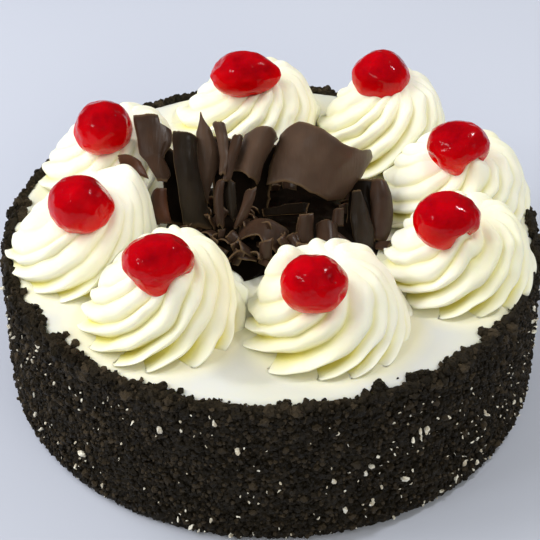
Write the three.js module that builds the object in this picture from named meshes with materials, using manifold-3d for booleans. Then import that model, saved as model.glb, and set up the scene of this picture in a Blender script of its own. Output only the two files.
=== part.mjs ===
// Black forest cake: an iced round cake with chocolate crumbs pressed on its side, a ring of
// eight piped cream rosettes, a glacé cherry on each, and a heap of chocolate shards inside the ring.
// Millimetres, +Z up. The origin is the centre of the flat base, and -Y is the front.

import * as THREE from "three";
import { mergeVertices } from "three/addons/utils/BufferGeometryUtils.js";
import Module from "manifold-3d";

const wasm = await Module();
wasm.setup();

// Driving dimensions
const CAKE_RADIUS = 89.6; // outside of the crumb coat
const CAKE_HEIGHT = 54.5; // flat cream top
const CRUMB_RELIEF = 2.2; // depth of the pits between crumbs
const CRUMB_COLUMNS = 114; // relief points round the side
const CRUMB_ROWS = 9; // relief points up the side
const CREAM_EDGE = 5.4; // how far the crumbs creep over the cream, from the outside
const RIM_LUMPS = 46; // large crumbs that creep over the cream's edge
const LUMP_SIZES = [1.5, 3.2]; // radius, smallest and largest
const RIDGES = 13; // ridges that the star nozzle leaves on a rosette
const RIDGE_DEPTH = 2.4;
const RIDGE_TWIST = 125; // degrees from the peak to the foot, clockwise from above
const TIP_REACH = 1.8; // how far the ridges' ends point out at the foot
const SHARD_THICKNESS = 1.3;
const GAP = 0.3; // clearance between pieces that touch
const REST_GAP = 0.05; // clearance under what stands on the flat top
const HEAP_CENTRE = [0, -4];
const HEAP_SIZE = [36, 34, 7]; // half width, half depth and height of the flakes' heap
const LOOSE_FLAKES = 34;
const FLAKE_WIDTHS = [3, 6];
const FLAKE_LENGTHS = [6, 11];

// One row for each rosette, clockwise from the back: foot's centre, foot's radius, height, how full
// its shoulders are, which way it leans if not to the back right, where the peak lies from the
// centre, the cherry's centre above the flat top, its width, depth and height, and the turn of the
// cherry and of the ridges.
const ROSETTES = [
  {
    at: [-7.6, 60.5], foot: 24.5, height: 20.5, full: 3.2, peak: [6, 4],
    cherry: [-9.7, 56.5, 24.5], size: [24, 17, 16], turn: [12, 0],
  },
  {
    at: [38.5, 52.5], foot: 22.8, height: 23, full: 3.3, peak: [6, 4],
    cherry: [37.6, 56, 24.2], size: [20.5, 19, 18], turn: [250, 17],
  },
  {
    at: [61, 18.5], foot: 24.3, height: 19.5, full: 4.2, peak: [6, 1],
    cherry: [60.8, 11.8, 25], size: [21, 19, 18], turn: [140, 8],
  },
  {
    at: [60, -20], foot: 23.3, height: 19.5, full: 4.2, peak: [5, 4],
    cherry: [54.5, -27.8, 25], size: [21.5, 19, 18], turn: [75, 22],
  },
  {
    at: [18.1, -46.8], foot: 24, height: 21, full: 3.9, lean: 120, peak: [0, 5],
    cherry: [12.7, -58, 24], size: [20.5, 19, 18.5], turn: [310, 4],
  },
  {
    at: [-33.9, -43.3], foot: 24, height: 24.5, full: 2.9, peak: [7, 6],
    cherry: [-34.2, -49.3, 25], size: [23, 19, 18.5], turn: [200, 13],
  },
  {
    at: [-60.4, -11.7], foot: 24, height: 23.5, full: 3, peak: [8, 4],
    cherry: [-60, -19, 24.5], size: [21, 20, 19], turn: [100, 26],
  },
  {
    at: [-54.1, 31.3], foot: 23.6, height: 22.5, full: 3, peak: [7, 2],
    cherry: [-56, 23, 25], size: [20, 19, 18.5], turn: [35, 11],
  },
];

// The shards that the eye can tell apart. Each is a bent plate along a spine from its foot up,
// [x, y, height above the flat top], with its width and how far its middle bows out at each point
// of the spine, and its width's turn about the vertical and slope, in degrees. A crown is how much
// longer the plate is where it comes to a point, and where across its width that is.
const SHARDS = [
  // wide scoop at the right
  {
    spine: [[10.1, 5.5, 9.5], [14.6, 13, 15.1], [16.9, 20.5, 19.7]],
    widths: [26.8, 31.6, 30.8],
    bows: [8.4, 9.3, 11.7],
    turn: 0,
    slope: -13,
    crown: [0.3, -0.5],
  },
  // half-rolled curl beside it
  {
    spine: [[-9.2, 8, 14], [-4.3, 20.5, 22.6]],
    widths: [10.3, 10.7],
    bows: [7.5, 9.3],
    turn: -3,
    slope: -19,
  },
  // pointed leaf
  {
    spine: [[-21.6, 2, 9.2], [-21.2, 9, 17.3], [-21.5, 16, 24.6], [-23.1, 22, 32.3]],
    widths: [2.2, 7, 7.2, 1.3],
    bows: [0.7, 2, 2, 0.8],
    turn: 0,
    slope: -10,
  },
  // long dark blade
  {
    spine: [[-23.6, -6, 3.8], [-28.2, 6, 20.5], [-28.8, 17, 25.8]],
    widths: [11.1, 7.3, 7.8],
    bows: [1.7, 3.3, 4.7],
    turn: -5,
    slope: -15,
  },
  // folded slab at the upper left
  {
    spine: [[-35.8, 5, 14.6], [-38.5, 15.5, 20.9], [-41.3, 25, 28.6]],
    widths: [5, 13, 11.5],
    bows: [0.3, 2.5, 1.9],
    turn: 2,
    slope: -3,
  },
  // thin piece under the slab
  {
    spine: [[-43.7, 2.5, 21.4], [-46.2, 8, 23.4]],
    widths: [12.6, 9.1],
    bows: [-0.6, 2.2],
    turn: -3,
    slope: -22,
  },
  // rounded flake at the left end
  {
    spine: [[-34.8, -8, 8], [-36.8, -3, 12.3], [-35.7, 1, 16.3]],
    widths: [5.5, 6.2, 3.2],
    bows: [1.7, 2.3, 1.6],
    turn: 0,
    slope: 5,
  },
  // thin upright blades between leaf and curl
  {
    spine: [[-15.9, 3, 19.8], [-15.8, 12, 25], [-17.7, 19, 29.3]],
    widths: [1.9, 3, 4.1],
    bows: [0.8, 1.1, 3.2],
    turn: 0,
    slope: 5,
  },
  {
    spine: [[-13.6, 2, 16.3], [-13, 9, 23.1], [-11.4, 16, 26.2]],
    widths: [2.1, 3.3, 3.5],
    bows: [0.7, 1.1, 2.2],
    turn: 0,
    slope: -9,
  },
  {
    spine: [[-16.1, -10, 8.1], [-16.7, -4, 14.7], [-16.4, 0, 18.7]],
    widths: [2.7, 2.7, 2.1],
    bows: [0.4, 1, 0.5],
    turn: 0,
    slope: 12,
  },
  {
    spine: [[-12.1, -6, 9.5], [-12.9, -2, 14.6], [-12.9, 0, 15.8]],
    widths: [2.7, 3.2, 1.9],
    bows: [0.5, 1.1, 0.3],
    turn: 0,
    slope: 1,
  },
  {
    spine: [[-9.8, -9, 9.6], [-8.4, -6, 13.2], [-6.9, -2, 17.2]],
    widths: [3.6, 3.9, 3.7],
    bows: [1.4, 1.8, 0.6],
    turn: 0,
    slope: 6,
  },
  // plate in the hollow under the scoop
  {
    spine: [[4.6, -8, 8.4], [4.5, -2, 11.1]],
    widths: [13.1, 16.3],
    bows: [-0.1, 1.6],
    turn: 0,
    slope: 9,
  },
  // arched lump at the front
  {
    spine: [[-4.1, -16, 3.9], [-2.2, -8, 5.7]],
    widths: [16.3, 17.7],
    bows: [7.7, 6.2],
    turn: -7,
    slope: -1,
  },
  // broken curls right of it
  {
    spine: [[10.8, -15, 5.4], [11.2, -9, 13.7]],
    widths: [5.5, 4.6],
    bows: [0.6, 1.1],
    turn: 0,
    slope: 11,
  },
  {
    spine: [[18.5, -15, 5.8], [17.3, -8, 11.3]],
    widths: [6.9, 5.4],
    bows: [2.7, 4.4],
    turn: 0,
    slope: -2,
  },
  {
    spine: [[21.5, -7, 6.3], [21.9, -3, 11.1]],
    widths: [3.8, 3.5],
    bows: [2.3, 3.1],
    turn: 0,
    slope: 16,
  },
  // rounded upright slabs at the right end
  {
    spine: [[29.3, -12, 0.4], [28.9, -3, 6], [28.6, 5, 11.9]],
    widths: [7, 8.6, 5.6],
    bows: [1.6, 2.7, 2.5],
    turn: 0,
    slope: -6,
  },
  {
    spine: [[36.8, -6, 0.4], [37.2, 1, 6.3], [36.6, 9, 13.5]],
    widths: [5.2, 7.2, 5.4],
    bows: [1.3, 2.7, 2.7],
    turn: 0,
    slope: -7,
  },
  // at the back of the heap
  {
    spine: [[12.5, 23.5, 3], [14.5, 29.5, 12]],
    widths: [17.3, 19.2],
    bows: [-1, -0.8],
    turn: -9,
    slope: 0,
  },
  {
    spine: [[-9.5, 26, 3], [-10, 30, 15]],
    widths: [17.1, 20.1],
    bows: [-0.7, -1.2],
    turn: 6,
    slope: 0,
  },
  {
    spine: [[-27, 21.5, 2], [-28.5, 25, 15]],
    widths: [13, 14.3],
    bows: [-0.5, -0.1],
    turn: 24,
    slope: 0,
  },
  // dark plates seen between the others
  {
    spine: [[-30.5, -1, 4.6], [-33, 17, 20.3]],
    widths: [6.2, 4.9],
    bows: [1, 0.5],
    turn: 0,
    slope: -10,
  },
  {
    spine: [[-10.8, -1, 5], [-11.2, 18.5, 14.9]],
    widths: [16.5, 18.4],
    bows: [0, -0.6],
    turn: -5,
    slope: -8,
  },
  {
    spine: [[28.5, -9, 0.9], [30.2, 12, 10]],
    widths: [9, 7.8],
    bows: [0.1, 1.9],
    turn: 0,
    slope: 5,
  },
];

const MATERIALS = {
  crumb: new THREE.MeshStandardMaterial({ color: 0x2b231c, roughness: 0.85, metalness: 0 }),
  cream: new THREE.MeshStandardMaterial({ color: 0xf6f2dc, roughness: 0.5, metalness: 0 }),
  cherry: new THREE.MeshStandardMaterial({ color: 0xb80010, roughness: 0.12, metalness: 0 }),
  chocolate: new THREE.MeshStandardMaterial({ color: 0x3f2f27, roughness: 0.45, metalness: 0 }),
};

const degrees = THREE.MathUtils.degToRad;
const lerp = THREE.MathUtils.lerp;

// A seeded stream of numbers from 0 to 1, so that each build is the same.
function seeded(seed) {
  let state = seed >>> 0;
  return () => {
    state = (state + 0x6d2b79f5) >>> 0;
    let t = Math.imul(state ^ (state >>> 15), 1 | state);
    t = (t + Math.imul(t ^ (t >>> 7), 61 | t)) ^ t;
    return ((t ^ (t >>> 14)) >>> 0) / 4294967296;
  };
}

// Solids

function solidOf(geometry) {
  const bare = geometry.clone();
  bare.deleteAttribute("normal");
  bare.deleteAttribute("uv");
  const merged = mergeVertices(bare, 1e-4);
  const vertProperties = new Float32Array(merged.attributes.position.array);
  const triVerts = new Uint32Array(merged.index.array);
  return new wasm.Manifold(new wasm.Mesh({ numProp: 3, vertProperties, triVerts }));
}

function geometryOf(solid) {
  const mesh = solid.getMesh();
  const positions = new Float32Array(mesh.numVert * 3);
  for (let i = 0; i < mesh.numVert; i++) {
    positions.set(mesh.vertProperties.subarray(i * mesh.numProp, i * mesh.numProp + 3), i * 3);
  }
  const geometry = new THREE.BufferGeometry();
  geometry.setAttribute("position", new THREE.BufferAttribute(positions, 3));
  geometry.setIndex(new THREE.BufferAttribute(new Uint32Array(mesh.triVerts), 1));
  geometry.computeVertexNormals();
  return geometry;
}

// The largest body of a solid: scraps that a cut leaves loose are dropped.
function largest(solid) {
  return solid.decompose().sort((a, b) => b.volume() - a.volume())[0];
}

// A closed skin through rings of points, from a bottom pole to a top pole.
function skin(bottom, rings, top) {
  const columns = rings[0].length;
  const positions = [...bottom, ...rings.flat(2), ...top];
  const index = [];
  const at = (ring, column) => 1 + ring * columns + (column % columns);
  const last = 1 + rings.length * columns;
  for (let c = 0; c < columns; c++) {
    index.push(0, at(0, c + 1), at(0, c));
    for (let r = 0; r + 1 < rings.length; r++) {
      index.push(at(r, c), at(r, c + 1), at(r + 1, c));
      index.push(at(r, c + 1), at(r + 1, c + 1), at(r + 1, c));
    }
    index.push(at(rings.length - 1, c), at(rings.length - 1, c + 1), last);
  }
  const geometry = new THREE.BufferGeometry();
  geometry.setAttribute("position", new THREE.Float32BufferAttribute(positions, 3));
  geometry.setIndex(index);
  return geometry;
}

// Iced cake with its crumb coat

function crumbSide() {
  const random = seeded(11);
  const stepRound = (2 * Math.PI) / CRUMB_COLUMNS;
  const stepUp = (CAKE_HEIGHT - 1.5) / CRUMB_ROWS;
  const ring = (z, wander, radiusOf, liftOf) =>
    Array.from({ length: CRUMB_COLUMNS }, (_, c) => {
      const stagger = wander ? (Math.round(z / stepUp) % 2) / 2 : 0;
      const angle = (c + stagger + wander * (random() - 0.5)) * stepRound;
      const inset = radiusOf();
      const radius = CAKE_RADIUS - inset;
      const lift = clearOfRosettes(angle, inset, 3.5) ? liftOf() : Math.min(0, liftOf());
      return [radius * Math.cos(angle), radius * Math.sin(angle), z + lift];
    });
  const pit = () => CRUMB_RELIEF * Math.pow(random(), 1.3);
  const unevenly = () => 0.6 * stepUp * (random() - 0.5);
  const rings = [ring(0, 0, () => 0.6 * CRUMB_RELIEF, () => 0)];
  for (let r = 1; r < CRUMB_ROWS; r++) rings.push(ring(r * stepUp, 0.5, pit, unevenly));
  rings.push(ring(CAKE_HEIGHT - 1.5, 0.4, () => 0.4 + pit(), () => random() - 0.5));
  rings.push(ring(CAKE_HEIGHT, 0.4, () => 3.4 + random(), () => 1.3 * random() - 0.4));
  rings.push(ring(CAKE_HEIGHT, 0.3, () => CREAM_EDGE + 1.2 * random(), () => 0));
  return solidOf(skin([0, 0, 0], rings, [0, 0, CAKE_HEIGHT]));
}

function rimLump(angle, radius, lift, inset) {
  const lump = new THREE.IcosahedronGeometry(radius, 0);
  lump.rotateX(angle * 7);
  lump.rotateZ(angle * 3);
  lump.scale(1, 0.8, 0.85);
  const reach = CAKE_RADIUS - inset;
  lump.translate(reach * Math.cos(angle), reach * Math.sin(angle), CAKE_HEIGHT + lift);
  return solidOf(lump);
}

function clearOfRosettes(angle, inset, radius) {
  const x = (CAKE_RADIUS - inset) * Math.cos(angle);
  const y = (CAKE_RADIUS - inset) * Math.sin(angle);
  return ROSETTES.every((rosette) => {
    const [rx, ry] = rosette.at;
    return Math.hypot(x - rx, y - ry) > rosette.foot + TIP_REACH + radius + GAP;
  });
}

function icedCake() {
  const random = seeded(23);
  let cake = crumbSide();
  for (let i = 0; i < RIM_LUMPS; i++) {
    const angle = ((i + 0.7 * random()) / RIM_LUMPS) * 2 * Math.PI;
    const radius = lerp(...LUMP_SIZES, Math.pow(random(), 2));
    const inset = lerp(1.6, CREAM_EDGE, random());
    const onTop = clearOfRosettes(angle, inset, radius);
    const lift = onTop ? lerp(-0.9, 0.5, random()) : -radius - 0.4;
    cake = cake.add(rimLump(angle, radius, lift, onTop ? inset : radius * 0.8));
  }
  return largest(cake);
}

// Piped rosettes

// The rosette's height at a share of its radius, fuller on the side that it leans to.
function domeHeight(rosette, share, angle) {
  const fullness = rosette.full + 0.9 * Math.cos(angle - degrees(rosette.lean ?? 35));
  return rosette.height * Math.pow(Math.max(0, 1 - Math.pow(share, fullness)), 0.7);
}

function rosetteSolid(rosette, grow = 0) {
  const columns = RIDGES * 2;
  const shares = [1, 0.96, 0.9, 0.78, 0.56, 0.28];
  const rings = shares.map((share, row) =>
    Array.from({ length: columns }, (_, c) => {
      const crest = c % 2;
      const depth = RIDGE_DEPTH * Math.min(1, 1.4 * share);
      const tip = row < 2 ? TIP_REACH * crest * crest : 0;
      const radius = (rosette.foot + grow) * share + depth * (crest - 0.6) + tip;
      const slope = row < 2 ? row * 2 : domeHeight(rosette, share, degrees(125));
      const climb = slope / rosette.height;
      const twist = RIDGE_TWIST * (0.5 * (1 - share) + 0.5 * climb) + rosette.turn[1];
      const angle = (c / columns) * 2 * Math.PI + degrees(twist);
      const dome = domeHeight(rosette, share, angle) + 0.9 * (crest - 0.5);
      const height = row === 0 ? -grow : row === 1 ? 2 + grow : dome + grow;
      const x = radius * Math.cos(angle) + rosette.peak[0] * (1 - share);
      const y = radius * Math.sin(angle) + rosette.peak[1] * (1 - share);
      return [x, y, height];
    }),
  );
  const top = [...rosette.peak, rosette.height + grow];
  const geometry = skin([0, 0, -grow], rings, top);
  geometry.translate(...rosette.at, CAKE_HEIGHT + REST_GAP);
  return solidOf(geometry);
}

// A slab beyond the plane midway between two rosettes, which cuts the first where they press together.
function neighbourSlab(rosette, neighbour) {
  const [x, y] = rosette.at;
  const [nx, ny] = neighbour.at;
  const towards = Math.atan2(ny - y, nx - x);
  const size = 90;
  const slab = new THREE.BoxGeometry(size, size, size);
  slab.translate(size / 2 - GAP / 2, 0, 0);
  slab.rotateZ(towards);
  slab.translate((x + nx) / 2, (y + ny) / 2, CAKE_HEIGHT + size / 3);
  return solidOf(slab);
}

// Glacé cherries

function cherrySolid(rosette, grow = 0) {
  const ball = new THREE.SphereGeometry(1, 12, 7);
  const position = ball.attributes.position;
  const point = new THREE.Vector3();
  const stalkEnd = new THREE.Vector3(0, 1, 0);
  for (let i = 0; i < position.count; i++) {
    point.fromBufferAttribute(position, i);
    const dimple = 0.2 * Math.exp(-Math.pow(point.angleTo(stalkEnd) / 0.45, 2));
    const sides = Math.cos(3 * Math.atan2(point.z, point.x)) * (1 - point.y * point.y);
    point.multiplyScalar((1 - dimple) * (1 + 0.05 * sides));
    position.setXYZ(i, point.x, point.y, point.z);
  }
  const [width, depth, height] = rosette.size;
  ball.rotateX(degrees(60));
  ball.rotateZ(degrees(rosette.turn[0]));
  ball.scale(width / 2 + grow, depth / 2 + grow, height / 2 + grow);
  ball.translate(rosette.cherry[0], rosette.cherry[1], CAKE_HEIGHT + rosette.cherry[2]);
  return solidOf(ball);
}

// Chocolate shards

// The smooth curve through values that are spaced evenly from 0 to 1.
function through(values, t) {
  let sum = 0;
  values.forEach((value, i) => {
    let weight = 1;
    values.forEach((_, j) => {
      if (j !== i) weight *= (t * (values.length - 1) - j) / (i - j);
    });
    sum += value * weight;
  });
  return sum;
}

// A shard's middle surface: u goes from -1 at its left edge to 1 at its right, v from foot to top.
function shardSurface(shard, u, share) {
  const [crown, peakAt] = shard.crown ?? [0, 0];
  const away = Math.min(1, Math.abs(u - peakAt) / 0.8);
  const v = share * (1 + crown * Math.cos((away * Math.PI) / 2) ** 2);
  const [x, y, z] = [0, 1, 2].map((axis) => through(shard.spine.map((point) => point[axis]), v));
  const turn = degrees(shard.turn);
  const slope = degrees(shard.slope);
  const right = new THREE.Vector3(
    Math.cos(turn) * Math.cos(slope),
    Math.sin(turn) * Math.cos(slope),
    Math.sin(slope),
  );
  const top = new THREE.Vector3(...shard.spine.at(-1));
  const up = top.sub(new THREE.Vector3(...shard.spine[0])).normalize();
  const outwards = new THREE.Vector3().crossVectors(right, up).normalize();
  const point = new THREE.Vector3(x, y, z + CAKE_HEIGHT);
  point.addScaledVector(right, (u * through(shard.widths, v)) / 2);
  return point.addScaledVector(outwards, through(shard.bows, v) * (1 - u * u));
}

function shardSolid(shard, grow = 0, across = 5, along = 3) {
  const thick = SHARD_THICKNESS / 2 + grow;
  const face = (c, a, side) => {
    const u = (2 * c) / across - 1;
    const v = a / along;
    const right = shardSurface(shard, u + 0.02, v).sub(shardSurface(shard, u - 0.02, v)).normalize();
    const up = shardSurface(shard, u, v + 0.02).sub(shardSurface(shard, u, v - 0.02)).normalize();
    const point = shardSurface(shard, u, v);
    point.addScaledVector(right, (c === across) * grow - (c === 0) * grow);
    point.addScaledVector(up, (a === along) * grow - (a === 0) * grow);
    point.addScaledVector(new THREE.Vector3().crossVectors(right, up).normalize(), side * thick);
    return point.toArray();
  };
  const loops = [];
  for (let a = 0; a <= along; a++) {
    const loop = [];
    for (let c = 0; c <= across; c++) loop.push(face(c, a, 1));
    for (let c = across; c >= 0; c--) loop.push(face(c, a, -1));
    loops.push(loop);
  }
  return solidOf(strip(loops));
}

// A closed plate from loops of points: each loop goes out on the front face and back on the rear face.
function strip(loops) {
  const count = loops[0].length;
  const half = count / 2;
  const index = [];
  const at = (loop, point) => loop * count + (point % count);
  for (let l = 0; l + 1 < loops.length; l++) {
    for (let p = 0; p < count; p++) {
      index.push(at(l, p), at(l, p + 1), at(l + 1, p + 1));
      index.push(at(l, p), at(l + 1, p + 1), at(l + 1, p));
    }
  }
  const end = loops.length - 1;
  for (let p = 0; p + 1 < half; p++) {
    const q = count - 1 - p;
    index.push(at(0, p), at(0, q), at(0, q - 1), at(0, p), at(0, q - 1), at(0, p + 1));
    index.push(at(end, p), at(end, q - 1), at(end, q), at(end, p), at(end, p + 1), at(end, q - 1));
  }
  const geometry = new THREE.BufferGeometry();
  geometry.setAttribute("position", new THREE.Float32BufferAttribute(loops.flat(2), 3));
  geometry.setIndex(index);
  return geometry;
}

// Heap of small flakes that the shards stand in

function heapCore(grow = 0) {
  const random = seeded(5);
  const columns = 22;
  const [halfWidth, halfDepth, top] = HEAP_SIZE;
  const heights = [-grow, 0.25 * top + grow, 0.7 * top + grow, 0.95 * top + grow];
  const rings = [1, 0.97, 0.72, 0.38].map((share, row) =>
    Array.from({ length: columns }, (_, c) => {
      const angle = ((c + 0.4 * random()) / columns) * 2 * Math.PI;
      const uneven = share * (row < 2 ? 1 : 0.94 + 0.12 * random());
      const x = (halfWidth + grow) * uneven * Math.cos(angle);
      const y = (halfDepth + grow) * uneven * Math.sin(angle);
      return [x, y, heights[row]];
    }),
  );
  const geometry = skin([0, 0, -grow], rings, [0, 0, top + grow]);
  geometry.translate(...HEAP_CENTRE, CAKE_HEIGHT + REST_GAP);
  return solidOf(geometry);
}

function looseFlake(random) {
  const angle = random() * 2 * Math.PI;
  const share = 0.9 * Math.sqrt(random());
  const foot = [
    HEAP_CENTRE[0] + HEAP_SIZE[0] * share * Math.cos(angle),
    HEAP_CENTRE[1] + HEAP_SIZE[1] * share * Math.sin(angle),
    HEAP_SIZE[2] * (1 - share * share) - 1,
  ];
  const width = lerp(...FLAKE_WIDTHS, random());
  const length = lerp(...FLAKE_LENGTHS, random());
  const turn = 360 * random();
  const lean = degrees(lerp(10, 70, random()));
  const back = degrees(turn + 90);
  const tip = [
    foot[0] + length * Math.sin(lean) * Math.cos(back),
    foot[1] + length * Math.sin(lean) * Math.sin(back),
    foot[2] + length * Math.cos(lean),
  ];
  const bow = width * lerp(0.1, 0.35, random());
  const slope = lerp(-25, 25, random());
  const widths = [0.8 * width, width];
  return shardSolid({ spine: [foot, tip], widths, bows: [bow, bow], turn, slope }, 0, 3, 2);
}

// Assembly

const grownRosettes = ROSETTES.map((rosette) => rosetteSolid(rosette, GAP));
const grownCherries = ROSETTES.map((rosette) => cherrySolid(rosette, GAP));
const cherries = ROSETTES.map((rosette) => cherrySolid(rosette));

const rosettes = ROSETTES.map((rosette, i) => {
  let solid = rosetteSolid(rosette);
  for (const step of [1, ROSETTES.length - 1]) {
    solid = solid.subtract(neighbourSlab(rosette, ROSETTES[(i + step) % ROSETTES.length]));
  }
  for (const cherry of grownCherries) solid = solid.subtract(cherry);
  return largest(solid);
});

const belowTop = new THREE.BoxGeometry(300, 300, 60);
belowTop.translate(0, 0, CAKE_HEIGHT + REST_GAP - 30);
const floor = solidOf(belowTop);

const grownShards = SHARDS.map((shard) => shardSolid(shard, GAP));
const placedShards = [];
SHARDS.forEach((shard, i) => {
  let solid = shardSolid(shard).subtract(heapCore(GAP)).subtract(floor);
  for (const neighbour of [...grownRosettes, ...grownCherries]) solid = solid.subtract(neighbour);
  for (let j = 0; j < i; j++) solid = solid.subtract(grownShards[j]);
  placedShards.push(largest(solid));
});

function heap() {
  const random = seeded(41);
  const cream = [...grownRosettes, ...rosettes];
  const grown = [...grownShards, ...cream, ...grownCherries];
  let solid = heapCore();
  for (const neighbour of cream) solid = solid.subtract(neighbour);
  for (let i = 0; i < LOOSE_FLAKES; i++) {
    const flake = looseFlake(random);
    const blocked = grown.some((other) => flake.intersect(other).volume() > 0);
    if (!blocked) solid = solid.add(flake);
  }
  return largest(solid.subtract(floor));
}

const cake = new THREE.Group();

function addPiece(name, solid, material) {
  const mesh = new THREE.Mesh(geometryOf(solid), material);
  mesh.name = name;
  cake.add(mesh);
}

addPiece("iced_cake", icedCake(), MATERIALS.crumb);
rosettes.forEach((solid, i) => addPiece(`rosette_${i + 1}`, solid, MATERIALS.cream));
cherries.forEach((solid, i) => addPiece(`cherry_${i + 1}`, solid, MATERIALS.cherry));
placedShards.forEach((solid, i) => addPiece(`shard_${i + 1}`, solid, MATERIALS.chocolate));
addPiece("flake_heap", heap(), MATERIALS.chocolate);

export default cake;
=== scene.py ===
# %% [markdown]
# # Black forest cake
# An iced round cake stands on a pale floor. Its side is pressed full of chocolate crumbs, eight
# piped cream rosettes ring its top, each holds a glacé cherry, and chocolate shards fill the
# middle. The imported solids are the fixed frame: each piece made here takes the place of one
# solid, or of the relief that one solid carries.

# %% Load the frame
import math

import bpy
import numpy as np
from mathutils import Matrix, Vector, noise
from mathutils.kdtree import KDTree


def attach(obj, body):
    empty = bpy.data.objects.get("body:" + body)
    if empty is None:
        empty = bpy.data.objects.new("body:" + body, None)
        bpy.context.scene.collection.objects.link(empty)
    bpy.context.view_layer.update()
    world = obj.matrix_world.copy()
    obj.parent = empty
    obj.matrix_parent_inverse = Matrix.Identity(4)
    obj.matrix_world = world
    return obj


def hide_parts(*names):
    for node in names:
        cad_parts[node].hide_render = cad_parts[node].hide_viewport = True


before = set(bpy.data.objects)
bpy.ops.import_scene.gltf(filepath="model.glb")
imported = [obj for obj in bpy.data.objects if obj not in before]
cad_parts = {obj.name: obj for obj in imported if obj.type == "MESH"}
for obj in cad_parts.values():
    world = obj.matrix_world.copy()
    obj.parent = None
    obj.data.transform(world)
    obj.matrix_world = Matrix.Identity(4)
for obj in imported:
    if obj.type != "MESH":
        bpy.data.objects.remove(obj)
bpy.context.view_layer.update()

MM = 0.001

# %% [markdown]
# The solids were worked out from a handful of named sizes. The finer pieces repeat those sizes,
# so that each lies where its solid lies.

# %% Sizes in millimetres, turns in degrees
CAKE_RADIUS = 89.6
CAKE_HEIGHT = 54.5
CREAM_RADIUS = 86.6
RIM_BEND = 4.5  # radius of the cream coat's rounded rim
RIDGES = 14
RIDGE_DEPTH = 3.3
RIDGE_TWIST = 80  # from foot to peak
TIP_REACH = 2.1  # how far a ridge runs out at the foot
FOOT_SUNK = 0.6  # how deep a rosette's foot stands in the coat
CRISP_SIDE = 268  # where the ridges are sharpest
MEAN_SIDE = 125  # where a dome is neither full nor lean
CHERRY_FULL = 0.985
HEAP_CENTRE = (0, -4)
HEAP_SIZE = (36, 34, 7)
HEAP_FRONT = -25

ROSETTES = [
    dict(at=(-7.6, 60.5), foot=24.5, height=20.5, full=3.2, peak=(6, 4), turn=12,
         flares=[(0, 2), (178, 5.5)]),
    dict(at=(38.5, 52.5), foot=22.8, height=23, full=3.3, peak=(6, 4), turn=29,
         flares=[(200, 2), (150, 4)]),
    dict(at=(61, 18.5), foot=24.3, height=19.5, full=4.2, peak=(6, 1), turn=20,
         flares=[(175, 4.5)]),
    dict(at=(60, -20), foot=23.3, height=19.5, full=4.2, peak=(5, 4), turn=34,
         flares=[(170, 2.5)]),
    dict(at=(18.1, -46.8), foot=24, height=21, full=3.9, lean=120, peak=(0, 5), turn=16,
         flares=[(230, 2.5), (176, 4)], mounds=[(3.2, -41, 5.0, 5.5, 3)]),
    dict(at=(-33.9, -43.3), foot=24, height=24.5, full=2.9, peak=(7, 6), turn=25,
         flares=[(215, 2.5), (12, 4.5)]),
    dict(at=(-60.4, -11.7), foot=24, height=23.5, full=3, peak=(8, 4), turn=38,
         flares=[(250, 1)], soft=0.6, mounds=[(-43.5, -2, 6.5, 9, 2)]),
    dict(at=(-54.1, 31.3), foot=23.6, height=22.5, full=3, peak=(7, 2), turn=23,
         flares=[(250, 1)], soft=0.7),
]

# A nick: its direction as the camera sees it (right, up, near), its depth and its width.
# A depth below 0 is a bulge.
CHERRIES = [
    dict(at=(-9.7, 56.5, 24.5), size=(24, 17, 16),
         nicks=[(-0.9, 0.5, 0.3, 0.16, 0.35), (1, 0.1, 0.1, -0.10, 0.4),
               (0.3, -0.9, 0.2, 0.12, 0.4)]),
    dict(at=(37.6, 56, 24.2), size=(20.5, 19, 18), nicks=[(0.8, 0.6, 0.2, 0.08, 0.4)]),
    dict(at=(60.8, 11.8, 25), size=(21, 19, 18),
         nicks=[(0.64, -0.77, 0.3, 0.36, 0.42), (-0.85, -0.5, 0.1, 0.24, 0.3),
               (0.1, -1, 0.1, -0.1, 0.25)]),
    dict(at=(54.5, -27.8, 25), size=(21.5, 19, 18),
         nicks=[(0.6, -0.8, 0.3, 0.34, 0.48), (0.95, -0.3, 0.1, -0.08, 0.3),
               (-0.2, -1, 0.1, -0.05, 0.3)]),
    dict(at=(12.7, -58, 24), size=(20.5, 19, 18.5),
         nicks=[(0.9, -0.4, 0.3, 0.16, 0.2), (0.55, 0.2, 0.8, 0.14, 0.16),
               (0.95, 0.15, 0.1, -0.05, 0.3)]),
    dict(at=(-34.2, -49.3, 25), size=(23, 19, 18.5),
         nicks=[(0.68, -0.74, 0.3, 0.3, 0.42), (-0.75, -0.65, 0.1, 0.14, 0.45),
               (0, -1, 0.1, -0.09, 0.3)]),
    dict(at=(-60, -19, 24.5), size=(21, 20, 19),
         nicks=[(0.75, 0.65, 0.1, 0.12, 0.4), (1, -0.15, 0.1, -0.06, 0.25),
               (-0.8, 0.55, 0.1, -0.03, 0.4)]),
    dict(at=(-56, 23, 25), size=(20, 19, 18.5),
         nicks=[(0.6, 0.7, 0.5, 0.06, 0.2), (0.9, 0.3, 0.5, -0.03, 0.3)]),
]
print("rosettes:", len(ROSETTES), "cherries:", len(CHERRIES))

# %% [markdown]
# The camera looks down at the cake from a little over thirty-eight degrees, through a long lens,
# as food is often photographed. A tiny sideways shift keeps the cake where the photograph has it.
# The plain view transform keeps the cherries' red pure.

# %% Camera


def add_object(name, data):
    made = bpy.data.objects.new(name, data)
    bpy.context.scene.collection.objects.link(made)
    return made


ELEVATION = math.radians(38.49)
DISTANCE = 0.700
AIM = Vector((0.00164, 0.0474, 0))

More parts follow.
